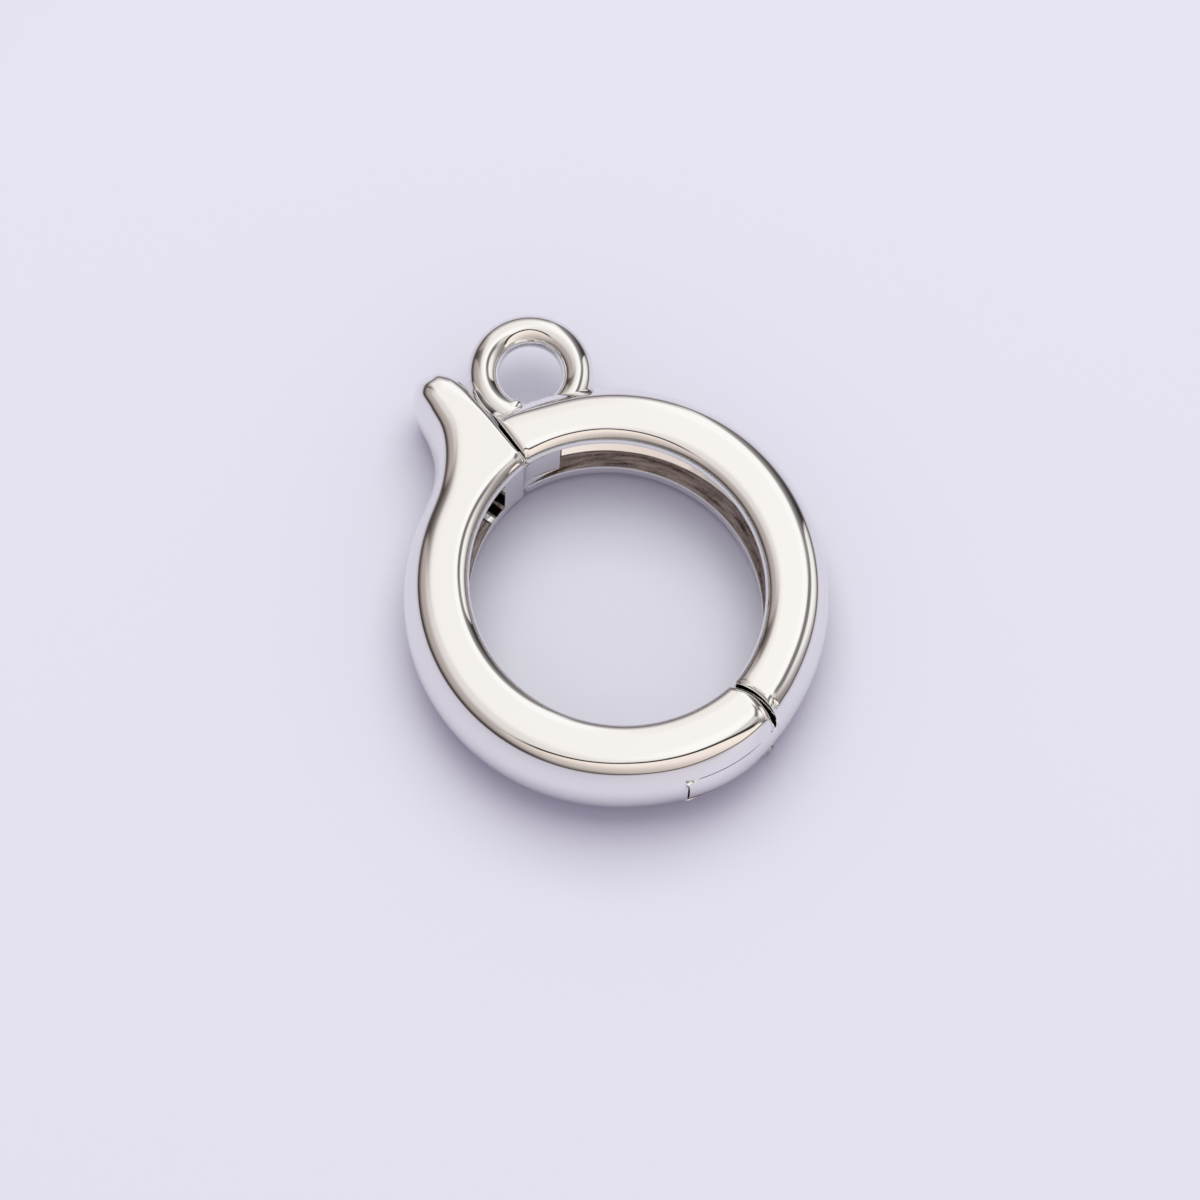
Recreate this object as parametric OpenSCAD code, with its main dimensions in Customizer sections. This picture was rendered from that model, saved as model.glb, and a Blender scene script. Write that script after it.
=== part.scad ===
// Hinged charm holder ring: two cast half rings, a wire bail and a hidden hinge pin.
// Millimetres. The ring lies flat on z = 0, its axis is Z, and the bail points along +Y.

/* [Ring] */
// Height of the ring, from face to face
ring_h = 4.0; // [3.8:0.1:4.4]
// Outer radius of the half with the bail, at mid-height
bail_half_r = 7.72; // [7.6:0.02:7.8]
// Outer radius of the half with the horn, at mid-height
horn_half_r = 7.58; // [7.5:0.02:7.7]
// Radius of the inner wall of the half with the bail
bail_half_bore = 5.71; // [5.6:0.01:5.8]
// Radius of the inner wall of the half with the horn
horn_half_bore = 5.62; // [5.5:0.01:5.7]
// How far the crowned outer wall stands out past the flat face
outer_reach = 0.86; // [0.8:0.02:0.9]
// How far the rounded inner edge stands in past the flat face
inner_reach = 0.33; // [0.2:0.01:0.4]
// Radius of the polished edges
edge_r = 0.4; // [0.4:0.02:0.5]

/* [Channel] */
// Thickness of each lip above and below the inner channel
lip_t = 0.7; // [0.6:0.05:0.8]
// Depth of the inner channel
channel_d = 0.66; // [0.5:0.02:0.7]

/* [Latch] */
// Direction of the split between the halves
split_a = 105; // [104.8:0.1:105.2]
// Gap between the end faces at the split
split_gap = 0.08; // [0.06:0.01:0.1]
// Direction of the latch block's root end
block_root_a = 117; // [115:0.5:119]
// Direction of the latch block's tip
block_tip_a = 89.5; // [89:0.5:95]
// Clearance round the latch block
block_clear = 0.1; // [0.06:0.01:0.14]
// How far the block's inner face lies back from the inner wall
block_back = 0.06; // [0.05:0.01:0.1]
// Depth of the pocket behind the latch block, from the inner wall
pocket_d = 1.15; // [0.9:0.05:1.2]

/* [Hinge] */
// Distance from the ring's axis to the hinge pin
pin_from_axis = 6.756; // [6.7:0.004:6.8]
// Direction of the hinge pin
pin_a = -78.5; // [-79:0.1:-78]
// Radius of the round end of the cheeks
cheek_r = 1.83; // [1.8:0.01:1.86]
// Radius of the hollow end that the cheeks turn in
hollow_r = 1.93; // [1.91:0.01:1.94]
// Radius of the knuckle
knuckle_r = 1.96; // [1.95:0.01:1.97]
// Thickness of the knuckle
knuckle_t = 1.9; // [1.7:0.1:2.0]
// Clearance of the knuckle between the cheeks and in its pocket
knuckle_clear = 0.06; // [0.05:0.01:0.08]
// Radius of the hinge pin
pin_r = 0.4; // [0.35:0.01:0.42]

/* [Bail] */
// Distance from the ring's axis to the middle of the bail's eye
bail_y = 8.71; // [8.7:0.01:8.8]
// Height of the bail's wire, to its middle, above the face that the ring rests on
bail_z = 2.86; // [2.7:0.02:3]
// Radius of the bail's wire
bail_wire_r = 0.57; // [0.5:0.01:0.57]
// Radius of the bail, to the middle of its wire
bail_r = 1.7; // [1.6:0.01:1.7]

/* [Hidden] */
$fn = 96;
half_h = ring_h / 2;
bail_centre = [-0.19, 0.09];
horn_centre = [-0.06, -0.05];
bail_bore_centre = [-0.53, -0.13];
horn_bore_centre = [0.38, 0.24];
pin_at = pin_from_axis * [cos(pin_a), sin(pin_a)];
knuckle_z = half_h - knuckle_t / 2;
bail_channel_from = -52;
horn_channel_to = 256;
pocket_to_a = 124;
pin_bore_clear = 0.04;
pin_inset = 0.5;
// How far forms run on past the split, before it is cut
past_split_a = 1;
before_split_a = 5;
far = 14;
cut = 0.5;
// Heights of the loft's levels above mid-height, closest together round the edge
levels = half_h * [0, 0.3, 0.55, 0.8, 0.875, 0.94, 0.98, 1];
// The thumb horn: on the flat face [x, y], and at mid-height where it is widest [x, y]
horn_rows = [
    // face_x, face_y, wall_x, wall_y
    [-4.40, 5.36, -5.00, 5.77],
    [-3.81, 6.16, -4.56, 6.41],
    [-3.40, 6.85, -4.30, 7.08],
    [-3.26, 7.66, -4.21, 7.84],
    [-3.32, 8.40, -4.24, 8.70],
    [-3.46, 8.86, -4.20, 9.46],
    [-3.50, 9.00, -3.87, 9.97],
    [-3.44, 9.00, -3.38, 10.07],
    [-3.30, 8.90, -2.88, 9.66],
    [-2.93, 8.56, -2.49, 9.02],
    [-2.55, 8.00, -2.33, 8.32],
    [-2.30, 7.45, -2.14, 7.72],
    [-2.13, 6.98, -1.98, 7.18]
];
// Directions from the middle of the horn half between which its wall is round, row by row
wall_from_a = 300;
wall_to_a = 140;
wall_step_a = 5;
// The split's end face runs in to here, inside the bore
split_root = [-1.36, 4.98];
horn_steps = 3;

// Reach of a wall past the flat face, z above mid-height, on a wall that reaches d in all
function wall_reach(d, z) =
    let (
        f = min(edge_r, d),
        crown = d > f ? (d * d + (half_h - f) * (half_h - f) - f * f) / (2 * (d - f)) : 0,
        turn_z = d > f ? crown * (half_h - f) / (crown - f) : half_h - f
    )
    z >= turn_z ? sqrt(max(0, f * f - pow(z - (half_h - f), 2)))
        : d > f ? d - crown + sqrt(crown * crown - z * z)
        : d;

// A point on a smooth curve through rows a, b, c, d, between b and c
function curve(a, b, c, d, t) =
    0.5 * (2 * b + (c - a) * t + (2 * a - 5 * b + 4 * c - d) * t * t
        + (3 * b - a - 3 * c + d) * t * t * t);

// The rows, with horn_steps - 1 more between each pair
function smooth(rows) =
    let (last = len(rows) - 1)
    [
        for (i = [0 : last - 1], k = [0 : horn_steps - 1])
            curve(rows[max(i - 1, 0)], rows[i], rows[i + 1], rows[min(i + 2, last)],
                k / horn_steps),
        rows[last]
    ];

// One row's point at a height z above or below mid-height
function row_point(row, z) =
    let (
        face = [row[0], row[1]],
        out = [row[2], row[3]] - face,
        d = norm(out),
        p = d < 0.001 ? face : face + out * wall_reach(d, abs(z)) / d
    )
    [p[0], p[1], half_h + z];

// Every level from the lower face to the upper one
all_levels = [
    for (i = [len(levels) - 1 : -1 : 1]) -levels[i],
    for (z = levels) z
];

// The solid disc that the outer wall is part of
module disc(centre, r) {
    face_r = r - outer_reach;
    translate(centre)
        rotate_extrude()
            polygon([
                [0, 0],
                for (z = all_levels) [face_r + wall_reach(outer_reach, abs(z)), half_h + z],
                [0, ring_h]
            ]);
}

// The hole that the inner wall is left by, flared at both faces
module bore(centre, r) {
    face_r = r + inner_reach;
    translate(centre)
        rotate_extrude()
            polygon([
                [0, -cut],
                [face_r, -cut],
                for (z = all_levels) [face_r - wall_reach(inner_reach, abs(z)), half_h + z],
                [face_r, ring_h + cut],
                [0, ring_h + cut]
            ]);
}

// A wedge of the plane from direction a to direction b
module wedge(a, b) {
    translate([0, 0, -cut])
        linear_extrude(ring_h + 2 * cut)
            polygon([
                [0, 0],
                for (i = [0 : 4]) far * [cos(a + (b - a) * i / 4), sin(a + (b - a) * i / 4)]
            ]);
}

// A flat washer-shaped space from radius 0 to r, between two heights
module puck(r, z0, z1) {
    translate([0, 0, z0])
        cylinder(r = r, h = z1 - z0);
}

// The open channel along an inner wall
module channel(centre, r, a, b, depth) {
    intersection() {
        translate(centre)
            puck(r + depth, lip_t, ring_h - lip_t);
        wedge(a, b);
    }
}

module at_pin() {
    translate(pin_at)
        children();
}

// The space that the horn half's cheeks turn in, above and below the knuckle
module cheek_space() {
    at_pin() {
        puck(hollow_r, -cut, knuckle_z);
        puck(hollow_r, ring_h - knuckle_z, ring_h + cut);
    }
}

// The middle knuckle, as round about the pin as the ring's outer wall leaves it
module knuckle() {
    intersection() {
        disc(bail_centre, bail_half_r);
        at_pin()
            puck(knuckle_r, knuckle_z, ring_h - knuckle_z);
    }
}

// The slot between the cheeks, round enough for the knuckle to turn in
module knuckle_slot() {
    slot_z = knuckle_z - knuckle_clear;
    at_pin()
        puck(knuckle_r + knuckle_clear, slot_z, ring_h - slot_z);
}

// The pin's own space, closed at both ends by the polished faces of the cheeks
module hinge_pin_space(r) {
    at_pin()
        puck(r, pin_inset, ring_h - pin_inset);
}

// Half of the gap at the split, as an angle at the ring's outer radius
function half_gap_a(r) = atan(split_gap / 2 / r);

// The wire bail, soldered to the upper part of the outer wall
module bail() {
    translate([0, bail_y, bail_z])
        rotate_extrude()
            translate([bail_r, 0])
                circle(bail_wire_r);
}

// A row on the round wall of the horn half, in direction a from its middle
function arc_row(a) =
    let (
        out = [cos(a), sin(a)],
        face = horn_centre + (horn_half_r - outer_reach) * out,
        wall = horn_centre + horn_half_r * out
    )
    [face[0], face[1], wall[0], wall[1]];

// A row that stands upright at point p
function upright(p) = [p[0], p[1], p[0], p[1]];

// The outer form of the horn half, lofted level by level from its face outline to its wall
module horn_form() {
    blend_from_a = wall_to_a + wall_step_a;
    blend_rows = concat([arc_row(blend_from_a), arc_row(wall_to_a)], horn_rows);
    rows = concat(
        [for (a = [wall_from_a : -wall_step_a : blend_from_a + wall_step_a]) arc_row(a)],
        smooth(blend_rows),
        [upright(split_root), upright(horn_centre)]
    );
    n = len(rows);
    m = len(all_levels);
    points = [for (z = all_levels) each [for (row = rows) row_point(row, z)]];
    sides = [
        for (k = [0 : m - 2], i = [0 : n - 1])
            let (j = (i + 1) % n)
            each [
                [k * n + i, k * n + j, (k + 1) * n + j],
                [k * n + i, (k + 1) * n + j, (k + 1) * n + i]
            ]
    ];
    lower_face = [[for (i = [0 : n - 1]) i]];
    upper_face = [[for (i = [n - 1 : -1 : 0]) (m - 1) * n + i]];
    polyhedron(points, concat(sides, lower_face, upper_face));
}

// The block cast on the horn half: its free end lies in the other half's channel
module latch_block() {
    intersection() {
        translate(bail_bore_centre)
            difference() {
                puck(bail_half_bore + channel_d - block_clear,
                    lip_t + block_clear, ring_h - lip_t - block_clear);
                puck(bail_half_bore + block_back, 0, ring_h);
            }
        wedge(block_tip_a, split_a + past_split_a);
    }
}

module bail_half() {
    color([0.80, 0.79, 0.78])
        difference() {
            union() {
                difference() {
                    intersection() {
                        disc(bail_centre, bail_half_r);
                        wedge(pin_a, split_a - half_gap_a(bail_half_r));
                    }
                    cheek_space();
                }
                knuckle();
                bail();
            }
            bore(bail_bore_centre, bail_half_bore);
            channel(bail_bore_centre, bail_half_bore, bail_channel_from,
                split_a + past_split_a, channel_d);
            hinge_pin_space(pin_r + pin_bore_clear);
        }
}

module horn_half() {
    color([0.78, 0.77, 0.76])
        difference() {
            union() {
                difference() {
                    intersection() {
                        horn_form();
                        union() {
                            wedge(split_a - before_split_a, pin_a + 360);
                            at_pin()
                                puck(cheek_r, -cut, ring_h + cut);
                        }
                    }
                    bore(horn_bore_centre, horn_half_bore);
                    channel(horn_bore_centre, horn_half_bore,
                        block_root_a, horn_channel_to, channel_d);
                    channel(horn_bore_centre, horn_half_bore,
                        block_root_a, pocket_to_a, pocket_d);
                }
                latch_block();
            }
            knuckle_slot();
            hinge_pin_space(pin_r);
        }
}

module hinge_pin() {
    color([0.70, 0.69, 0.68])
        hinge_pin_space(pin_r);
}

bail_half();
horn_half();
hinge_pin();
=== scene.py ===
import math
from collections import namedtuple

import bmesh
import bpy
from mathutils import Matrix, Vector


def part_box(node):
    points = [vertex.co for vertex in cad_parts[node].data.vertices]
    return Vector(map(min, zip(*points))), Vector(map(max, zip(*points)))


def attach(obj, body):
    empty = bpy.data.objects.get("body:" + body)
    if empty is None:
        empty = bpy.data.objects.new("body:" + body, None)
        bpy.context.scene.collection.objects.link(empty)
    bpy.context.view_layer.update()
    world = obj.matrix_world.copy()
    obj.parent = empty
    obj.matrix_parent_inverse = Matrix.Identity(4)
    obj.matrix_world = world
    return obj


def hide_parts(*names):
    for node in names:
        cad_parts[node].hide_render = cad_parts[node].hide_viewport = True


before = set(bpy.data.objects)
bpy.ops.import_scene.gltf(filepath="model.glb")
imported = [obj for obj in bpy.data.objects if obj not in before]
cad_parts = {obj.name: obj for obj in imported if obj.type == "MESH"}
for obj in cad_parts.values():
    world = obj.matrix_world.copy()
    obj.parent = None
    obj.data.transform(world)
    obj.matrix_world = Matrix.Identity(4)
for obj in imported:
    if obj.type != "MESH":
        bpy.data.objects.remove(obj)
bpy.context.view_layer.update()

# Polished plate: both cast halves and the soldered bail are plated with the same bright, slightly
# warm metal, buffed to a mirror outside and left as cast on the floor of the inner channel. That floor
# is given a very dark colour, partly as painted shade, and the pocket is painted black as shade.
# Its nodes are written as sums on wires, from the class below.


class Wire:
    """A socket that can be added, subtracted, multiplied and divided as a number."""

    def __init__(self, tree, socket):
        self.tree, self.socket = tree, socket

    def math(self, operation, *values):
        return make_node(self.tree, "ShaderNodeMath", {"operation": operation}, *values)

    def __add__(self, other):
        return self.math("ADD", self, other)

    def __radd__(self, other):
        return self.math("ADD", other, self)

    def __sub__(self, other):
        return self.math("SUBTRACT", self, other)

    def __rsub__(self, other):
        return self.math("SUBTRACT", other, self)

    def __mul__(self, other):
        return self.math("MULTIPLY", self, other)

    def __rmul__(self, other):
        return self.math("MULTIPLY", other, self)

    def __truediv__(self, other):
        return self.math("DIVIDE", self, other)

    def out(self, name):
        return Wire(self.tree, self.socket.node.outputs[name])


def make_node(tree, kind, settings, *values, **named):
    """A node with its settings made first, then values or wires on its sockets, in order or by name."""
    node = tree.nodes.new(kind)
    for name, value in settings.items():
        if name == "stops":
            ramp = node.color_ramp
            while len(ramp.elements) < len(value):
                ramp.elements.new(1.0)
            for element, (place, colour) in zip(ramp.elements, value):
                element.position = place
                element.color = (*colour, 1)
        else:
            setattr(node, name, value)
    sockets = list(zip(node.inputs, values))
    sockets += [(node.inputs[name.replace("_", " ")], value) for name, value in named.items()]
    for socket, value in sockets:
        if isinstance(value, Wire):
            tree.links.new(value.socket, socket)
        elif value is not None:
            socket.default_value = (*value, 1) if socket.type == "RGBA" else value
    return Wire(tree, next((o for o in node.outputs if o.enabled), None))


def mixed(under, colour, mask):
    """A colour laid over the one under it, as far as the mask lets it."""
    node = make_node(mask.tree, "ShaderNodeMix", {"data_type": "RGBA"}, Factor=mask).socket.node
    for socket, value in ((node.inputs[6], under), (node.inputs[7], colour)):
        if isinstance(value, Wire):
            mask.tree.links.new(value.socket, socket)
        else:
            socket.default_value = (*value, 1)
    return Wire(mask.tree, node.outputs[2])


def new_material(name):
    material = bpy.data.materials.new(name)
    material.use_nodes = True
    material.node_tree.nodes.clear()
    return material, material.node_tree


def finish_material(tree, **sockets):
    shader = make_node(tree, "ShaderNodeBsdfPrincipled", {}, **sockets)
    make_node(tree, "ShaderNodeOutputMaterial", {}, shader)


PLATE_COLOUR = (0.875, 0.868, 0.857)
# The dark cast colour is partly painted shade on the channel floor, and the pocket's black is painted shade
CAST_DARK_AND_SHADE = (0.075, 0.058, 0.055)
CAST_PALE = (0.48, 0.41, 0.39)
POCKET_PAINTED_SHADE = (0.004, 0.003, 0.003)
PALE_FROM = 0.36
PALE_TO = 0.62
PLATE_ROUGHNESS = 0.045
CAST_ROUGHNESS = 0.34
STREAKS_ALONG = 4.5
STREAKS_ACROSS = 8500
GRAIN_SCALE = 14000.0
BUFFING_SCALE = 900.0

# The mesh attribute read here is 0 where the plate is polished, 1 where it is as cast and painted
# dark partly as shade, and 2 in the pocket, which is painted black as shade
plate, tree = new_material("rhodium_plate")
place = make_node(tree, "ShaderNodeTexCoord", {}).out("Object")
as_cast = make_node(tree, "ShaderNodeAttribute", {"attribute_name": "as_cast"}).out("Fac")
x, y, z = (make_node(tree, "ShaderNodeSeparateXYZ", {}, place).out(axis) for axis in "XYZ")
along_arc = x.math("ARCTAN2", y, x) * STREAKS_ALONG
from_axis = x.math("SQRT", x * x + y * y) * STREAKS_ACROSS
streaked = make_node(tree, "ShaderNodeCombineXYZ", {}, along_arc, from_axis, z * STREAKS_ACROSS)
streaks = make_node(tree, "ShaderNodeTexNoise", {}, Vector=streaked, Scale=1.0, Detail=4.0, Roughness=0.6)
grain = make_node(tree, "ShaderNodeTexNoise", {}, Vector=place, Scale=GRAIN_SCALE, Detail=3.0, Roughness=0.6)
buffing = make_node(tree, "ShaderNodeTexNoise", {}, Vector=place, Scale=BUFFING_SCALE, Detail=2.0)
rough_mask = make_node(tree, "ShaderNodeMapRange", {"clamp": True}, as_cast, 0.0, 0.6, 0.0, 1.0)
blotches = streaks * 0.75 + grain * 0.25
pale = make_node(tree, "ShaderNodeMapRange", {"clamp": True}, blotches, PALE_FROM, PALE_TO, 0.0, 1.0)
# The channel floor's dark and the pocket's black are painted shade here
cast = mixed(mixed(CAST_DARK_AND_SHADE, CAST_PALE, pale), POCKET_PAINTED_SHADE, as_cast - 1)
colour = mixed(PLATE_COLOUR, cast, rough_mask)
roughness = PLATE_ROUGHNESS + buffing * 0.03 + rough_mask * CAST_ROUGHNESS
bump = make_node(
    tree, "ShaderNodeBump", {}, Strength=0.8, Distance=0.00005, Height=(streaks + grain * 0.4) * rough_mask)
finish_material(tree, Base_Color=colour, Metallic=1.0, Roughness=roughness, Normal=bump)

# Bail half: a cast half ring, open along its inner wall, with the latch gap at one end and the
# hollow end and middle knuckle of the hinge at the other. It is cast in one piece and polished.
MM = 0.001
HALF_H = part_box("bail_half")[1].z / MM / 2
EDGE_R = 0.62
SOFT_R = 1.8
SOFT_A = math.radians(12)
SPLIT_A = 105
SPLIT_GAP = 0.08
BAIL_FLAT_INSET = 0.24
FLAT_CORNER_R = 0.15
WALL_CORNER_R = 0.13
PIN = Vector((1.3469, -6.6204))
HOLLOW_R = 1.93
KNUCKLE_R = 1.96
CHANNEL_DEPTH = 0.94
CHANNEL_FROM = -52
CHANNEL_BAND = {"top": 1.42, "low": 1.03, "edge": 0.06}
SILL_W = 0.30
SILL_LIP_W = 0.31
SILL_FROM = 0.05
SILL_TO = 0.21
LEAST_REACH = 0.1
MOST_REACH = 1.4
PAST_WALL = 0.09
MOUTH_DEEPER = 0.04
KNUCKLE_BAND = {"top": 0.95, "low": 0.95, "edge": 0.03}

# One column of the outline: where it meets the flat face, where its wall is widest, and the pair
# of places it steps to between the heights top and low, with the width of that step's edge, how
# rough its floor is and the painted shade it gets (dark on the cast floor, black in the pocket),
# the way in which a polished sill runs out from behind it, and its edges' fillet
Column = namedtuple(
    "Column", "face wall step top low edge cast sill fillet",
    defaults=(None, None, None, 0.02, 0.0, None, EDGE_R))
Circle = namedtuple("Circle", "middle r")
Edge = namedtuple("Edge", "soft run fillet middle crown turn")


def along(degrees):
    return Vector((math.cos(math.radians(degrees)), math.sin(math.radians(degrees))))


def on(circle, degrees):
    return circle.middle + circle.r * along(degrees)


def heading(vector):
    return math.degrees(math.atan2(vector.y, vector.x))


def resized(circle, change):
    return Circle(circle.middle, circle.r + change)


def ease(t):
    t = min(max(t, 0), 1)
    return t * t * (3 - 2 * t)


def nearest_turn(a, b):
    """Direction b, written as the one nearest to direction a."""
    return a + (b - a + 180) % 360 - 180


def meet(a, b, near):
    """The point nearest to near where circles a and b meet."""
    gap = b.middle - a.middle
    d = gap.length
    x = (d * d + a.r**2 - b.r**2) / (2 * d)
    y = math.sqrt(max(0, a.r**2 - x * x))
    u = gap / d
    points = [a.middle + x * u + y * side * Vector((-u.y, u.x)) for side in (1, -1)]
    return min(points, key=lambda p: (p - near).length)


def meet_split(circle, shift):
    """Where a circle meets the line that lies shift to the right of the split."""
    direction = along(SPLIT_A)
    foot = shift * Vector((direction.y, -direction.x))
    back = foot - circle.middle
    half = back.dot(direction)
    return foot + (math.sqrt(half * half - back.length_squared + circle.r**2) - half) * direction


def arc_path(circle, start, end, steps):
    """Points on a circle, from the direction of one point to that of another, the short way."""
    a = heading(start - circle.middle)
    b = nearest_turn(a, heading(end - circle.middle))
    return [on(circle, a + (b - a) * i / steps) for i in range(steps + 1)]


def corner_path(middle, r, a, b, steps=8):
    """Points round a corner, from one outward direction to another."""
    return arc_path(Circle(middle, r), middle + along(a), middle + along(b), steps)


def line_path(a, b, steps):
    return [a.lerp(b, i / steps) for i in range(steps + 1)]


def spread(path, count):
    """count pairs of points, evenly along a path of pairs by the length of its walls."""
    lengths = [0]
    for a, b in zip(path, path[1:]):
        lengths.append(lengths[-1] + (b[1] - a[1]).length)
    found, k = [], 0
    for i in range(count):
        d = lengths[-1] * i / (count - 1)
        while k < len(path) - 2 and lengths[k + 1] < d:
            k += 1
        t = min(1, (d - lengths[k]) / max(1e-9, lengths[k + 1] - lengths[k]))
        found.append(tuple(a.lerp(b, t) for a, b in zip(path[k], path[k + 1])))
    return found


def pushed(points, low, high, *swells):
    """Points that stand out by swells of a height, a direction and a width, in full past high."""
    found = []
    for p in points:
        rise = sum(h * math.exp(-((nearest_turn(0, heading(p) - a) / w) ** 2)) for h, a, w in swells)
        found.append(p + p.normalized() * rise * ease((p.length - low) / (high - low)))
    return found


def pushed_columns(columns, field, *swell):
    points = pushed([getattr(c, field) for c in columns], *swell)
    return [c._replace(**{field: p}) for c, p in zip(columns, points)]


# Swells of the buffed walls and flat faces: between which distances from the ring's middle they
# rise, and then the height of each, its direction and its width
HINGE_WALL = (6.3, 7.4, (0.2, -79, 17))
HINGE_FACE = (5.9, 6.5, (0.2, -68, 13))
LATCH_FACE = (6.15, 6.5, (0.28, 103, 8))
BAIL_FEET = (6.3, 7.3, (0.12, 75, 16), (0.14, 98, 10))


def wall_columns(face_circle, wall_circle, starts, ends, steps):
    """Columns along a round wall, whose flat edge slides to its own start and end near them."""
    a = heading(starts[1] - wall_circle.middle)
    b = nearest_turn(a + (180 if wall_circle.r > 6.5 else -180), heading(ends[1] - wall_circle.middle))
    first = nearest_turn(0, heading(starts[0] - face_circle.middle) - a)
    last = nearest_turn(0, heading(ends[0] - face_circle.middle) - b)
    columns = []
    for i in range(steps + 1):
        t = i / steps
        gone, left = abs(b - a) * t, abs(b - a) * (1 - t)
        turn = a + (b - a) * t
        shift = first * ease(1 - gone / 12) + last * ease(1 - left / 12)
        columns.append(Column(on(face_circle, turn + shift), on(wall_circle, turn)))
    return columns


def stepped(columns, pairs, band, cast=0.0):
    """The same columns, stepping to those pairs between the band's heights."""
    return [c._replace(step=pair, cast=cast, **band) for c, pair in zip(columns, pairs)]


def edge_of(reach, fillet):
    """A wall's section: a soft start where buffing has rounded the flat face, a fillet and a crown."""
    fillet = min(fillet, reach / (1 + (SOFT_R - 1) * math.sin(SOFT_A)))
    run = (SOFT_R - 1) * fillet * math.sin(SOFT_A)
    middle = HALF_H - fillet - (SOFT_R - 1) * fillet * (1 - math.cos(SOFT_A))
    bulge = reach - run - fillet
    if bulge < 0.001:
        return Edge(SOFT_R * fillet, run, fillet, middle, None, middle)
    crown = ((reach - run) ** 2 + middle**2 - fillet**2) / (2 * bulge)
    return Edge(SOFT_R * fillet, run, fillet, middle, crown, crown * middle / (crown - fillet))


def reach_at(reach, height, fillet=EDGE_R):
    """Reach of a wall past its flat face, so far above or below the middle."""
    edge = edge_of(reach, fillet)
    drop = HALF_H - height
    if drop < edge.soft * (1 - math.cos(SOFT_A)):
        return math.sqrt(max(0, edge.soft**2 - (edge.soft - drop) ** 2))
    if height >= edge.turn:
        return edge.run + math.sqrt(max(0, edge.fillet**2 - max(0, height - edge.middle) ** 2))
    if not edge.crown:
        return reach
    return reach - edge.crown + math.sqrt(edge.crown**2 - height**2)


def half_levels(reach, border, step_edge, fillet):
    """(height, stepped or not, slid so far) from the flat face to just off the middle."""
    edge = edge_of(reach, fillet)
    levels = []
    for i in range(4):
        levels.append((HALF_H - edge.soft * (1 - math.cos(SOFT_A * i / 4)), False, 0))
    start = max(edge.turn, border + step_edge + 0.03)
    end = math.acos((start - edge.middle) / edge.fillet)
    for i in range(11):
        lean = SOFT_A + (end - SOFT_A) * i / 10
        levels.append((edge.middle + edge.fillet * math.cos(lean), False, 0))
    for i in range(1, 4):
        levels.append((start + (border + step_edge - start) * i / 4, False, 0))
    levels += [
        (border + step_edge, False, 0),
        (border + step_edge * 0.3, False, step_edge * 0.3),
        (border, False, step_edge),
        (border - 0.004, True, SILL_LIP_W),
        (border - SILL_FROM, True, SILL_W),
        (border - SILL_TO, True, 0),
    ]
    for i in range(1, 4):
        levels.append(((border - SILL_TO) * (1 - i / 4), True, 0))
    return levels


def stand(column, reach, z, in_band, slid):
    point = column.face + (column.wall - column.face) * reach_at(reach, abs(z), column.fillet) / reach
    if column.step:
        face, wall = column.step
        span = (wall - face).length
        step = face + (wall - face) * (reach_at(span, abs(z)) / span if span > 0.01 else 1)
        if in_band:
            point = step + column.sill * slid if column.sill and z < 0 else step
        elif slid:
            point = point + (step - point) * min(1, slid / max(1e-6, (step - point).length))
    return Vector((point.x * MM, point.y * MM, (HALF_H + z) * MM))


def with_borders(columns):
    """Columns that don't step take the heights between those of their neighbours that do."""
    n = len(columns)
    steps = [i for i in range(n) if columns[i].top]
    filled = list(columns)
    for a, b in zip(steps, steps[1:] + [steps[0] + n]):
        for i in range(a + 1, b):
            t = (i - a) / (b - a)
            first, last = columns[a], columns[b % n]
            filled[i % n] = columns[i % n]._replace(
                top=first.top + (last.top - first.top) * t, low=first.low + (last.low - first.low) * t)
    return filled


def reaches(columns):
    """How far each wall stands out from its flat face, square to the wall, evened out."""
    n = len(columns)
    found = []
    for i, column in enumerate(columns):
        run = columns[(i + 1) % n].wall - columns[i - 1].wall
        square = Vector((run.y, -run.x)).normalized()
        found.append(min(MOST_REACH, max(LEAST_REACH, (column.wall - column.face).dot(square))))
    for _ in range(3):
        found = [(found[i - 1] + 2 * found[i] + found[(i + 1) % n]) / 4 for i in range(n)]
    return found


def place_in_mesh(piece):
    """The piece's place goes into its mesh, and its object to the origin."""
    piece.data.transform(piece.matrix_basis)
    piece.matrix_basis = Matrix.Identity(4)


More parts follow.
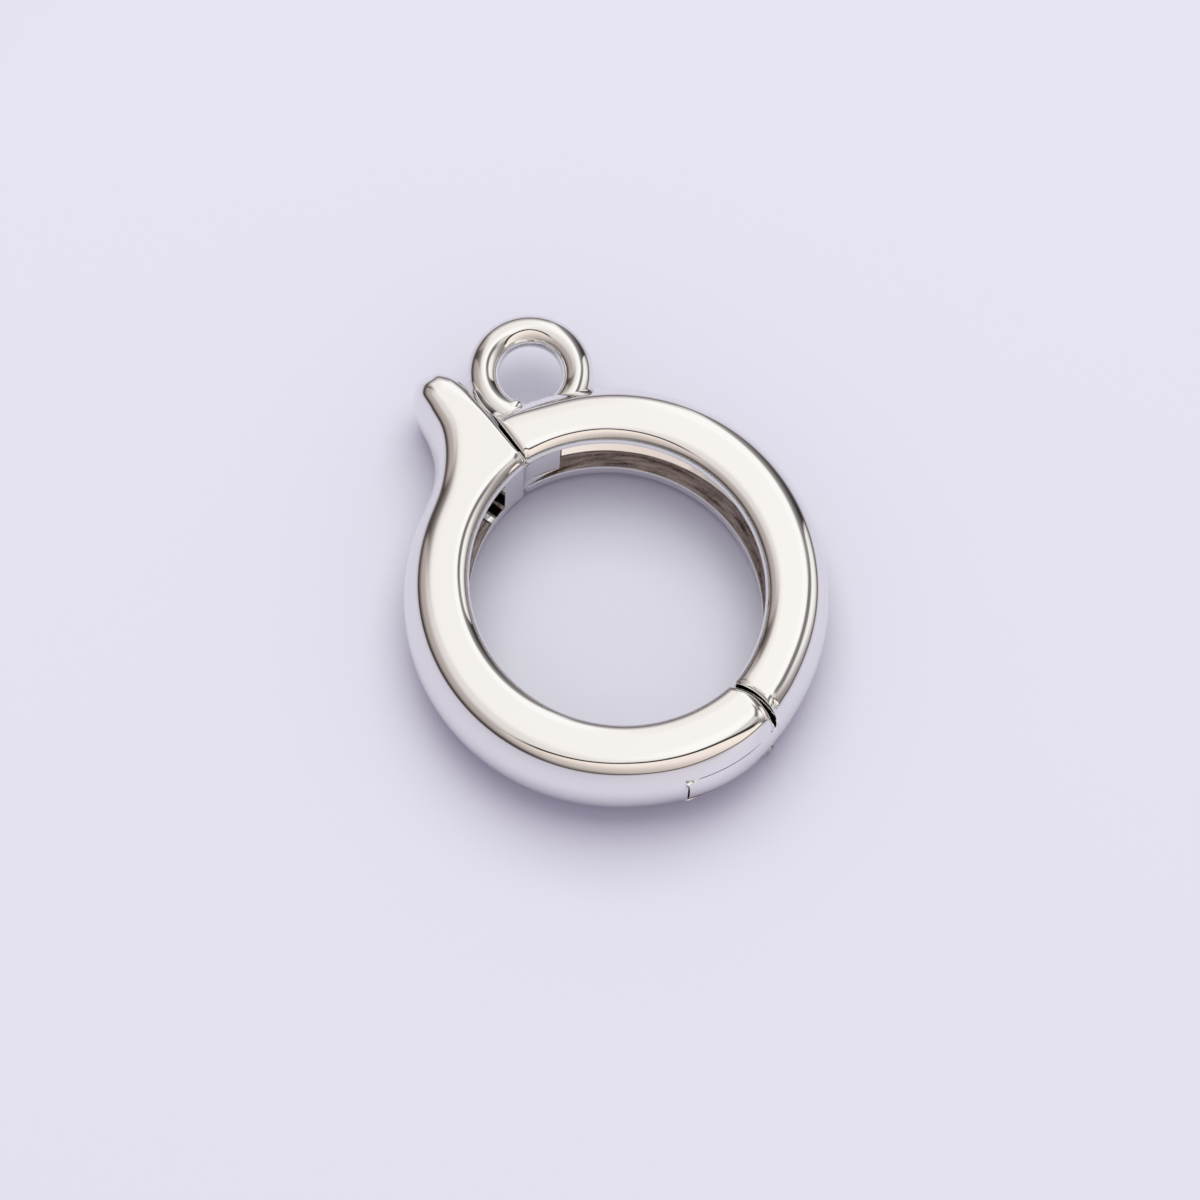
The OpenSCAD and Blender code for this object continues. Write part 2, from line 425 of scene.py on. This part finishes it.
def cast_shell(name, columns):
    """A closed shell, extruded level by level from the outline of one flat face to the other."""
    columns = with_borders(columns)
    tables = []
    for column, reach in zip(columns, reaches(columns)):
        upper = half_levels(reach, column.top, column.edge, column.fillet)
        lower = half_levels(reach, column.low, column.edge, column.fillet)
        levels = upper + [(0, True, 0)] + [(-z, band, slid) for z, band, slid in reversed(lower)]
        tables.append([(reach, *level) for level in levels])
    bpy.ops.object.select_all(action="DESELECT")
    bpy.ops.mesh.primitive_circle_add(vertices=len(columns), radius=7 * MM)
    shell = bpy.context.active_object
    shell.name = name
    bpy.ops.object.mode_set(mode="EDIT")
    mesh = bmesh.from_edit_mesh(shell.data)
    mesh.verts.layers.int.new("column")
    mesh.verts.layers.float.new("as_cast")
    mesh.verts.ensure_lookup_table()
    for i, vertex in enumerate(mesh.verts):
        vertex[mesh.verts.layers.int["column"]] = i
    for level in range(len(tables[0])):
        if level:
            bpy.ops.mesh.extrude_edges_move()
        mesh = bmesh.from_edit_mesh(shell.data)
        number = mesh.verts.layers.int["column"]
        as_cast = mesh.verts.layers.float["as_cast"]
        for vertex in mesh.verts:
            if vertex.select:
                column = columns[vertex[number]]
                reach, z, in_band, slid = tables[vertex[number]][level]
                vertex.co = stand(column, reach, z, in_band, slid)
                rough = z < 0 and slid and (slid == SILL_LIP_W if in_band else slid == column.edge)
                vertex[as_cast] = column.cast if rough else 0.0
    bpy.ops.mesh.select_all(action="DESELECT")
    bpy.ops.mesh.select_non_manifold()
    bpy.ops.mesh.edge_face_add()
    mesh = bmesh.from_edit_mesh(shell.data)
    for face in mesh.faces:
        face.select = len(face.verts) == len(columns)
    bmesh.update_edit_mesh(shell.data)
    bpy.ops.mesh.inset(thickness=0.03 * MM)
    bpy.ops.mesh.select_all(action="SELECT")
    bpy.ops.mesh.normals_make_consistent(inside=False)
    bpy.ops.object.mode_set(mode="OBJECT")
    place_in_mesh(shell)
    bpy.ops.object.shade_smooth_by_angle(angle=math.radians(34))
    shell.data.materials.append(plate)
    return shell


# Round its outer wall to the split, in along the end, and back along its inner wall
wall = Circle(Vector((-0.194, 0.086)), 7.72)
flat = Circle(Vector((-0.114, -0.013)), 6.60)
bore = Circle(Vector((-0.43, -0.099)), 5.567)
bore_flat = resized(bore, 0.583)
bail_bore = bore
hollow = Circle(PIN, HOLLOW_R)
hollow_flat = Circle(PIN + 0.55 * along(-38), 2.03)
outside, inside = Vector((3.2, -6.4)), Vector((2.6, -5.0))
hollow_corner_r, hollow_flat_rs = 0.1, (0.3, 0.15)

hinge_out = [
    meet(resized(flat, -hollow_flat_rs[0]), resized(hollow_flat, hollow_flat_rs[0]), outside),
    meet(resized(wall, -hollow_corner_r), resized(hollow, hollow_corner_r), outside)]
hinge_in = [
    meet(resized(bore_flat, hollow_flat_rs[1]), resized(hollow_flat, hollow_flat_rs[1]), inside),
    meet(resized(bore, hollow_corner_r), resized(hollow, hollow_corner_r), inside)]
gap = SPLIT_GAP / 2
split_out = [
    meet_split(resized(flat, -FLAT_CORNER_R), gap + BAIL_FLAT_INSET + FLAT_CORNER_R),
    meet_split(resized(wall, -WALL_CORNER_R), gap + WALL_CORNER_R)]
split_in = [
    meet_split(resized(bore_flat, FLAT_CORNER_R), gap + BAIL_FLAT_INSET + FLAT_CORNER_R),
    meet_split(resized(bore, WALL_CORNER_R), gap + WALL_CORNER_R)]


def corner_columns(middles, radii, froms, tos, steps=8):
    """Columns round a corner of the flat face and of the wall, without its first and last."""
    faces, walls = [
        corner_path(middle, r, a, b, steps) for middle, r, a, b in zip(middles, radii, froms, tos)]
    return [Column(f, w) for f, w in list(zip(faces, walls))[1:-1]]


to_split = SPLIT_A + 90
outer = wall_columns(flat, wall, hinge_out, split_out, 150)
outer = pushed_columns(outer, "wall", *HINGE_WALL)
bail_columns = outer + corner_columns(
    split_out, (FLAT_CORNER_R, WALL_CORNER_R),
    (heading(split_out[0] - flat.middle), heading(split_out[1] - wall.middle)), (to_split, to_split))
end_normal = -along(SPLIT_A - 90)
end = [
    Column(f + FLAT_CORNER_R * end_normal, w + WALL_CORNER_R * end_normal)
    for f, w in zip(line_path(split_out[0], split_in[0], 28), line_path(split_out[1], split_in[1], 28))]
end += corner_columns(
    split_in, (FLAT_CORNER_R, WALL_CORNER_R), (to_split, to_split),
    (heading(bore.middle - split_in[0]), heading(bore.middle - split_in[1])))
channel = resized(bore, CHANNEL_DEPTH)
open_end = [c for c in end if (c.wall - bore.middle).length < channel.r + 0.03]
mouth_from = meet_split(resized(channel, MOUTH_DEEPER), gap)
mouth = line_path(mouth_from, meet_split(channel, gap), len(open_end) - 1)
bail_columns += end[:len(end) - len(open_end)]
# The channel's floor, here and along the inner wall below, is as cast, and its dark colour is partly painted
# shade
bail_columns += stepped(open_end, [(p, p) for p in mouth], CHANNEL_BAND, 1.0)
inner = wall_columns(bore_flat, bore, split_in, hinge_in, 160)
for column in inner:
    turn = heading(column.wall - bore.middle)
    back = on(channel, turn)
    if heading(column.wall) > CHANNEL_FROM:
        column = stepped([column], [(back, back)], CHANNEL_BAND, 1.0)[0]._replace(sill=-along(turn))
    bail_columns.append(column)

# Round the hinge end, whose columns step out to the knuckle between its two flat sides
hinge_end = corner_columns(
    hinge_in, (hollow_flat_rs[1], hollow_corner_r),
    (heading(bore.middle - hinge_in[0]), heading(bore.middle - hinge_in[1])),
    (heading(hollow_flat.middle - hinge_in[0]), heading(PIN - hinge_in[1])))
hinge_end += [Column(f, w) for f, w in zip(
    arc_path(hollow_flat, hinge_in[0], hinge_out[0], 60), arc_path(hollow, hinge_in[1], hinge_out[1], 60))]
hinge_end += corner_columns(
    hinge_out, (hollow_flat_rs[0], hollow_corner_r),
    (heading(hollow_flat.middle - hinge_out[0]), heading(PIN - hinge_out[1])),
    (heading(hinge_out[0] - flat.middle), heading(hinge_out[1] - wall.middle)))
hinge_end = pushed_columns(hinge_end, "wall", *HINGE_WALL)

horn_wall = Circle(Vector((-0.065, -0.050)), 7.58)
horn_flat = Circle(Vector((-0.049, -0.004)), 6.524)
knuckle = Circle(PIN, KNUCKLE_R)
tail_in = meet(bore, knuckle, Vector((-0.4, -5.8)))
tail_out = meet(resized(horn_wall, PAST_WALL), knuckle, Vector((-0.4, -7.6)))
tail_flat = meet(horn_flat, knuckle, Vector((-0.5, -6.7)))
path = [(p, p) for p in arc_path(bore, bail_columns[-1].wall, tail_in, 30)]
path += list(zip(arc_path(knuckle, tail_in, tail_flat, 30), arc_path(knuckle, tail_in, tail_out, 30)))
tail_wall = pushed(arc_path(horn_wall, tail_out, outer[0].wall, 40), *HINGE_WALL)
tail_miss = outer[0].wall - tail_wall[-1]
tail_wall = [w + tail_miss * ease(i / 40) for i, w in enumerate(tail_wall)]
tail_face = pushed(arc_path(horn_flat, tail_flat, outer[0].face, 40), *HINGE_FACE)
path += list(zip(tail_face, tail_wall))
bail_columns += stepped(hinge_end, spread(path, len(hinge_end)), KNUCKLE_BAND)

bail_columns = pushed_columns(bail_columns, "face", *HINGE_FACE)
bail_columns = pushed_columns(bail_columns, "face", *LATCH_FACE)
bail_columns = pushed_columns(bail_columns, "wall", *BAIL_FEET)
bail_shell = cast_shell("bail_half_shell", bail_columns)

# The bail: a closed wire loop, plated like the ring. It is soldered to the upper part of the outer
# wall beside the latch, with a drop of solder in the corner at its left foot.
BAIL_Y = 8.71
BAIL_Z = 2.86
BAIL_R = 1.70
BAIL_WIRE_R = 0.57
DROP_AT = Vector((-1.08, 7.66, 3.26))
DROP_SIZE = (0.36, 0.24, 0.15)
DROP_TURN = 12
bpy.ops.object.select_all(action="DESELECT")
bpy.ops.mesh.primitive_torus_add(
    location=(0, BAIL_Y * MM, BAIL_Z * MM), major_radius=BAIL_R * MM, minor_radius=BAIL_WIRE_R * MM,
    major_segments=144, minor_segments=48)
bail = bpy.context.active_object
bpy.ops.mesh.primitive_uv_sphere_add(
    segments=48, ring_count=24, radius=MM, location=DROP_AT * MM,
    rotation=(0, 0, math.radians(DROP_TURN)), scale=DROP_SIZE)
drop = bpy.context.active_object
for piece in (bail, drop):
    piece.data.materials.append(plate)
    place_in_mesh(piece)
    piece.select_set(True)
bpy.ops.object.shade_smooth()
bail_shell.select_set(True)
bpy.context.view_layer.objects.active = bail_shell
bpy.ops.object.join()
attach(bail_shell, "bail_side")
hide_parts("bail_half")

# Horn half: the other casting, with the pointed thumb horn and the latch block at the split, and
# the two cheeks of the hinge, which close the knuckle in. Its channel ends in a deep pocket, painted black
# as shade.
HORN_RISES = [
    # on the flat face, and at mid-height where it is widest
    (-2.13, 6.98, -1.98, 7.18),
    (-2.30, 7.45, -2.14, 7.72),
    (-2.55, 8.00, -2.33, 8.32),
    (-2.92, 8.53, -2.49, 9.02),
    (-3.22, 8.84, -2.88, 9.66),
    (-3.38, 8.95, -3.38, 10.07),
    (-3.48, 8.90, -3.87, 9.97),
    (-3.47, 8.72, -4.20, 9.46),
    (-3.30, 8.30, -4.24, 8.70),
    (-3.20, 7.62, -4.21, 7.84),
    (-3.36, 6.83, -4.30, 7.08),
    (-3.72, 5.96, -4.56, 6.41),
    (-4.28, 5.08, -5.00, 5.77),
]
ROUND_FROM = 140
CHEEK_R = 1.83
SLOT_R = 2.02
SLOT_BAND = {"top": 1.01, "low": 1.01, "edge": 0.03}
BLOCK_BAND = {"top": 1.36, "low": 0.5, "edge": 0.03}
BLOCK_ROOT_LOW = 1.0
BLOCK_TIP_A = 85.3
BLOCK_TIP_R = 0.08
BLOCK_ROOT_A = 117
BLOCK_LOW_RUN = 14
BLOCK_CLEAR = 0.03
BLOCK_BACK = 0.56
POCKET_TO_A = 120.5
GLINT_TO_A = 124
POCKET_DEPTH = 1.5
HORN_CHANNEL_TO = 256
HORN_CORNER_R = 0.32
HORN_FLAT_INSET = 0.13
HINGE_FILLET = (0.1, -88, 14)

wall, flat = horn_wall, horn_flat
bore = Circle(Vector((0.212, 0.131)), 5.45)
bore_flat = resized(bore, 0.583)
cheek = Circle(PIN, CHEEK_R)
cheek_flat = Circle(PIN + 0.52 * along(142), 1.73)
flat_radii, wall_radii = (0.33, 0.15), (0.1, 0.1)
hinge_out = [
    meet(resized(flat, -flat_radii[0]), resized(cheek_flat, -flat_radii[0]), outside),
    meet(resized(wall, -wall_radii[0]), resized(cheek, -wall_radii[0]), outside)]
hinge_in = [
    meet(resized(bore_flat, flat_radii[1]), resized(cheek_flat, -flat_radii[1]), inside),
    meet(resized(bore, wall_radii[1]), resized(cheek, -wall_radii[1]), inside)]


def curve(a, b, c, d, t):
    """A point on a smooth curve through a, b, c and d, between b and c."""
    return 0.5 * (2 * b + (c - a) * t + (2 * a - 5 * b + 4 * c - d) * t * t + (3 * b - a - 3 * c + d) * t**3)


turns = [ROUND_FROM, ROUND_FROM + 5]
rises = [(Vector(r[:2]), Vector(r[2:])) for r in HORN_RISES]
rises += [(on(flat, a), on(wall, a)) for a in turns]
horn = []
for k in range(len(rises) - 2):
    for i in range(10):
        rows = [rises[max(0, k - 1)], rises[k], rises[k + 1], rises[k + 2]]
        horn.append(Column(*(curve(*points, i / 10) for points in zip(*rows))))
round_start = [flat.middle + along(ROUND_FROM), wall.middle + along(ROUND_FROM)]
outer = wall_columns(flat, wall, round_start, hinge_out, 130)
outer = pushed_columns(outer, "wall", *HINGE_WALL)
end = corner_columns(
    hinge_out, (flat_radii[0], wall_radii[0]),
    (heading(hinge_out[0] - flat.middle), heading(hinge_out[1] - wall.middle)),
    (heading(hinge_out[0] - cheek_flat.middle), heading(hinge_out[1] - PIN)))
end += [Column(f, w) for f, w in zip(
    arc_path(cheek_flat, hinge_out[0], hinge_in[0], 50), arc_path(cheek, hinge_out[1], hinge_in[1], 50))]
end += corner_columns(
    hinge_in, (flat_radii[1], wall_radii[1]),
    (heading(hinge_in[0] - cheek_flat.middle), heading(hinge_in[1] - PIN)),
    (heading(bore.middle - hinge_in[0]), heading(bore.middle - hinge_in[1])))
end = pushed_columns(end, "wall", *HINGE_WALL)
split_in = [
    meet_split(resized(bore_flat, HORN_CORNER_R), -(gap + HORN_FLAT_INSET + HORN_CORNER_R)),
    meet_split(resized(bore, WALL_CORNER_R), -(gap + WALL_CORNER_R))]
inner = wall_columns(bore_flat, bore, hinge_in, split_in, 170)

# The columns between where the slot leaves the outer wall and where it leaves the inner one
slot = Circle(PIN, SLOT_R)
slot_out = meet(resized(wall, PAST_WALL), slot, Vector((-0.4, -7.6)))
slot_in = meet(bore, slot, Vector((-0.3, -5.3)))
kept = [c for c in outer if (c.wall - PIN).length > SLOT_R]
past = outer[len(kept):]
inner_past = [c for c in inner if (c.wall - PIN).length < SLOT_R and c.wall.y < 0]
cheeks = past + end + inner_past
slot_wall = arc_path(slot, slot_out, slot_in, 60)
cheeks = stepped(cheeks, spread([(p, p) for p in slot_wall], len(cheeks)), SLOT_BAND)
horn_columns = horn + kept + cheeks
for column in inner[len(inner_past):]:
    a = heading(column.wall) % 360
    back = on(bore, heading(column.wall - bore.middle))
    if POCKET_TO_A < a < HORN_CHANNEL_TO:
        back = on(resized(bore, CHANNEL_DEPTH), heading(column.wall - bore.middle))
        # Its floor is as cast, with its dark colour partly painted shade, but polished just past the pocket
        column = stepped([column], [(back, back)], CHANNEL_BAND, 1.0 if a > GLINT_TO_A else 0.0)[0]
    elif BLOCK_ROOT_A < a <= POCKET_TO_A:
        # The pocket's floor is painted black, as shade in the deep recess
        back = on(resized(bore, POCKET_DEPTH), heading(column.wall - bore.middle))
        column = stepped([column], [(back, back)], CHANNEL_BAND, 2.0)[0]
    horn_columns.append(column)

# Out along the end at the split, stepping out to the latch block
from_split = SPLIT_A - 90
corner = corner_columns(
    split_in, (HORN_CORNER_R, WALL_CORNER_R),
    (heading(bore.middle - split_in[0]), heading(bore.middle - split_in[1])), (from_split, from_split))
end_normal = along(from_split)
split_faces = line_path(split_in[0] + HORN_CORNER_R * end_normal, rises[0][0], 30)
split_walls = line_path(split_in[1] + WALL_CORNER_R * end_normal, rises[0][1], 30)
corner += [Column(f, w) for f, w in list(zip(split_faces, split_walls))[:-1]]
block_in = resized(bail_bore, BLOCK_CLEAR)
block_out = resized(bail_bore, BLOCK_BACK)
at_block = [c for c in corner if (c.wall - bail_bore.middle).length < block_out.r + 0.2]
block_path = [horn_columns[-1].wall]
block_path += arc_path(block_in, meet_split(block_in, 0), on(block_in, BLOCK_TIP_A + 2), 20)
tip_middles = [
    on(resized(block_in, BLOCK_TIP_R), BLOCK_TIP_A + 1),
    on(resized(block_out, -BLOCK_TIP_R), BLOCK_TIP_A + 1)]
block_path += corner_path(tip_middles[0], BLOCK_TIP_R, BLOCK_TIP_A - 180, BLOCK_TIP_A - 90, 6)
block_path += corner_path(tip_middles[1], BLOCK_TIP_R, BLOCK_TIP_A - 90, BLOCK_TIP_A, 6)
block_path += arc_path(block_out, on(block_out, BLOCK_TIP_A + 2), meet_split(block_out, -gap), 20)
block_path.append(at_block[-1].wall)
pairs = spread([(p, p) for p in block_path], len(at_block))
block = stepped(at_block, pairs, BLOCK_BAND)
for i, column in enumerate(block):
    from_tip = abs(heading(column.step[1]) - heading(tip_middles[0])) / BLOCK_LOW_RUN
    block[i] = column._replace(low=column.low + (BLOCK_ROOT_LOW - column.low) * ease(from_tip))
horn_columns += block + corner[len(at_block):]

# The edges of its flat faces are rounder at the hinge
most, direction, width = HINGE_FILLET
for i, column in enumerate(horn_columns):
    rise = most * math.exp(-(((heading(column.face) - direction) / width) ** 2))
    horn_columns[i] = column._replace(fillet=column.fillet + rise)
horn_columns = pushed_columns(horn_columns, "face", *HINGE_FACE)
horn_shell = cast_shell("horn_half_shell", horn_columns)
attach(horn_shell, "horn_side")
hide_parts("horn_half")

# Hinge pin: a plain steel rod, pressed into the horn half and closed in by its two cheeks, so that
# no end of it shows. Only its look is added here, as its shape is the CAD's.
pin_steel, tree = new_material("pin_steel")
finish_material(tree, Base_Color=(0.55, 0.54, 0.53), Metallic=1.0, Roughness=0.35)
for material_slot in bpy.data.objects["hinge_pin"].material_slots:
    material_slot.link = "OBJECT"
    material_slot.material = pin_steel

# Camera, set at the photograph's angle, about 280 mm from the ring, and slightly turned.
ELEVATION = 71
AWAY_A = 65
UPRIGHT_A = 86
DISTANCE = 280
PIXELS_PER_MM = 28.1
RING_AT = (617.8, 598.1)
IMAGE_SIZE = 1200

away = along(AWAY_A)
level = math.cos(math.radians(ELEVATION))
back = Vector((-away.x * level, -away.y * level, math.sin(math.radians(ELEVATION))))
level_right = (-back).cross(Vector((0, 0, 1))).normalized()
level_up = level_right.cross(-back)
roll = math.radians(UPRIGHT_A)
right = level_right * math.sin(roll) + level_up * math.cos(roll)
up = level_up * math.sin(roll) - level_right * math.cos(roll)
aim = Vector((0, 0, HALF_H))
aim -= right * (RING_AT[0] - IMAGE_SIZE / 2) / PIXELS_PER_MM
aim += up * (RING_AT[1] - IMAGE_SIZE / 2) / PIXELS_PER_MM
turned = Matrix((right, up, back)).transposed().to_4x4()
bpy.ops.object.camera_add()
camera = bpy.context.active_object
camera.matrix_world = Matrix.Translation((aim + back * DISTANCE) * MM) @ turned
camera.data.sensor_width = 36
camera.data.lens = 36 * DISTANCE * PIXELS_PER_MM / IMAGE_SIZE
camera.data.clip_start = 0.01
camera.data.clip_end = 10
bpy.context.scene.camera = camera

# Floor: a plain pale sheet of lilac card, wide enough to fill every view. Its colour is painted
# darker from 28 mm out from the ring's middle, as painted shade of the far card, which the polish mirrors.
FLOOR_COLOUR = (0.348, 0.362, 0.383)
FLOOR_SIZE = 1.2
FLOOR_BELOW = 0.00002
DARK_FROM = 0.028
DARK_TO = 0.08
FAR_SHADE_MOST = 0.55
bpy.ops.object.select_all(action="DESELECT")
bpy.ops.mesh.primitive_plane_add(size=FLOOR_SIZE, location=(0, 0, -FLOOR_BELOW))
floor = bpy.context.active_object
floor.name = "floor"
place_in_mesh(floor)
card, tree = new_material("lilac_card")
place = make_node(tree, "ShaderNodeTexCoord", {}).out("Object")
from_middle = make_node(tree, "ShaderNodeVectorMath", {"operation": "LENGTH"}, place).out("Value")
painted_far_shade = make_node(
    tree, "ShaderNodeMapRange", {"interpolation_type": "SMOOTHSTEP"},
    from_middle, DARK_FROM, DARK_TO, 0.0, FAR_SHADE_MOST)
# The far card's darkening is painted shade
card_colour = mixed(FLOOR_COLOUR, (0.0, 0.0, 0.0), painted_far_shade)
finish_material(tree, Base_Color=card_colour, Roughness=0.3, Specular_IOR_Level=0.5)
floor.data.materials.append(card)

# Studio light: white, cream and grey panels round the ring, which its polish mirrors, and one large
# soft lamp above the far side, unseen in the polish, for the shadow on the card. Light that has left
# a matt surface meets a violet fill in place of the panels, and the camera sees a plain backdrop.
FILL_COLOUR = (1.2, 1.02, 1.38)
FILL_SHARE = 0.85
BACKDROP = (0.42, 0.41, 0.47)
world = bpy.data.worlds.new("studio")
bpy.context.scene.world = world
world.use_nodes = True
tree = world.node_tree
tree.nodes.clear()
look = make_node(tree, "ShaderNodeTexCoord", {}).out("Generated")


def share(axis):
    return make_node(tree, "ShaderNodeVectorMath", {"operation": "DOT_PRODUCT"}, look, axis).out("Value")


height = share((0, 0, 1))
ahead = share((away.x, away.y, 0))
aside = share((away.y, -away.x, 0))
# Degrees from the zenith, to the far side and to the right, as on a round map of the sky
from_top = height.math("ARCCOSINE", height) * (180 / math.pi)
outward = from_top / height.math("SQRT", ahead * ahead + aside * aside)
to_away = ahead * outward
to_right = aside * outward


def rising(value, at, soft):
    return make_node(
        tree, "ShaderNodeMapRange", {"interpolation_type": "SMOOTHSTEP"},
        value, at - soft, at + soft, 0.0, 1.0)


def between(value, low, high, soft_low, soft_high):
    return rising(value, low, soft_low) * (1 - rising(value, high, soft_high))


def ramp(value, low, high, stops):
    place = (value - low) / (high - low)
    return make_node(tree, "ShaderNodeValToRGB", {"stops": stops}, place)


# A bent line across the far side and a slanting one to its right, which the panels' edges follow
bent = to_away + 0.45 * height.math("ABSOLUTE", to_right - 3) - 0.12 * (to_right - 3)
over_edge = to_away - 0.78 * to_right
room = ramp(from_top, 0, 90, [
    (0.00, (0.90, 0.87, 0.85)), (0.25, (0.83, 0.78, 0.76)), (0.49, (0.49, 0.43, 0.41)),
    (0.66, (0.46, 0.41, 0.39)), (0.78, (0.30, 0.25, 0.24)), (0.88, (0.11, 0.09, 0.085)),
    (0.95, (0.03, 0.025, 0.025))])
brown = ramp(to_right, -80, 0, [
    (0.0, (0.03, 0.025, 0.025)), (0.45, (0.12, 0.10, 0.09)), (0.65, (0.35, 0.31, 0.29)),
    (0.9, (0.8, 0.76, 0.74))])
to_left = between(to_away + 0.41 * to_right, 10, 22, 3, 3) * (1 - rising(to_right, -12, 10))
room = mixed(room, brown, to_left)
low = rising(from_top, 62, 14) * between(to_right, -46, 25, 6, 8) * rising(to_away, 30, 10)
room = mixed(room, (0.50, 0.48, 0.50), low)
cream = ramp(to_away + 0.4 * to_right, -90, -10, [
    (0.0, (0.22, 0.18, 0.18)), (0.11, (0.32, 0.27, 0.26)), (0.24, (0.57, 0.51, 0.48)),
    (0.36, (0.62, 0.56, 0.51)), (0.49, (0.72, 0.63, 0.58)), (0.61, (0.84, 0.73, 0.68)),
    (0.76, (0.98, 0.88, 0.82)), (1.0, (1.08, 0.97, 0.89))])
room = mixed(room, cream, (1 - rising(bent, -11, 1.5)) * rising(to_right, -34, 14))
grey = between(bent, -9, 9, 1.5, 5) * between(to_right, 3, 47, 3, 8)
room = mixed(room, (0.73, 0.70, 0.68), grey)
line = between(bent, -15, -7.3, 1.2, 1.2) * between(to_right, -22, 56, 8, 8)
room = mixed(room, (0.035, 0.026, 0.022), line)
shade = rising(bent, 9, 5) * rising(to_right, 18, 4) * (1 - rising(over_edge, 5, 2))
room = mixed(room, (0.23, 0.21, 0.205), shade)
glow_right = to_right - 46
glow_away = to_away - 23
from_glow = height.math("SQRT", glow_right * glow_right + glow_away * glow_away)
glow = ramp(from_glow, 0, 50, [
    (0.0, (1.08, 1.06, 1.04)), (0.3, (0.98, 0.95, 0.93)), (0.7, (0.42, 0.38, 0.37)),
    (1.0, (0.28, 0.25, 0.24))])
at_glow = rising(to_right, 37, 6) * (1 - rising(over_edge, 5, 1.5)) * rising(bent, -7.5, 1.5)
room = mixed(room, glow, at_glow)
dark = ramp(to_right, 0, 60, [
    (0.25, (1.05, 1.04, 1.03)), (0.38, (0.35, 0.33, 0.33)), (0.50, (0.25, 0.23, 0.23)),
    (0.62, (0.13, 0.12, 0.12)), (0.85, (0.03, 0.028, 0.03)), (1.0, (0.008, 0.008, 0.01))])
room = mixed(room, dark, rising(over_edge, 5, 1.5) * rising(to_right, 15, 4))
white = ramp(to_right, -12, 4, [
    (0.0, (0.97, 0.92, 0.89)), (0.6, (1.01, 0.97, 0.94)), (1.0, (1.10, 1.09, 1.07))])
lit = rising(to_right + 0.75 * to_away, 1, 8) * (1 - rising(to_right, 17, 4)) * rising(bent, -7.5, 1.2)
room = mixed(room, white, lit * (1 - rising(from_top, 66, 12)))
room = mixed(room, (0.16, 0.12, 0.12), rising(from_top, 81, 7) * rising(to_away, 20, 20))
room = mixed(room, (0.06, 0.045, 0.045), rising(from_top, 85, 4) * (1 - rising(to_away, 30, 20)))
paths = make_node(tree, "ShaderNodeLightPath", {})
after_matt = height.math("MINIMUM", paths.out("Diffuse Depth"), 1)
room = mixed(room, FILL_COLOUR, after_matt * FILL_SHARE)
room = mixed(room, BACKDROP, paths.out("Is Camera Ray"))
light = make_node(tree, "ShaderNodeBackground", {}, room, 1.0)
make_node(tree, "ShaderNodeOutputWorld", {}, light)

bpy.ops.object.light_add(type="AREA")
lamp = bpy.context.active_object
LAMP_AWAY = 21
LAMP_DISTANCE = 0.6
toward = Vector((0, 0, 1)) + Vector((away.x, away.y, 0)) * math.tan(math.radians(LAMP_AWAY))
lamp.location = toward.normalized() * LAMP_DISTANCE
lamp.rotation_euler = toward.to_track_quat("Z", "Y").to_euler()
lamp.data.size = 0.5
lamp.data.energy = 5.0
lamp.data.color = (1, 1.01, 0.94)
lamp.visible_glossy = False

bpy.context.scene.view_settings.view_transform = "Standard"
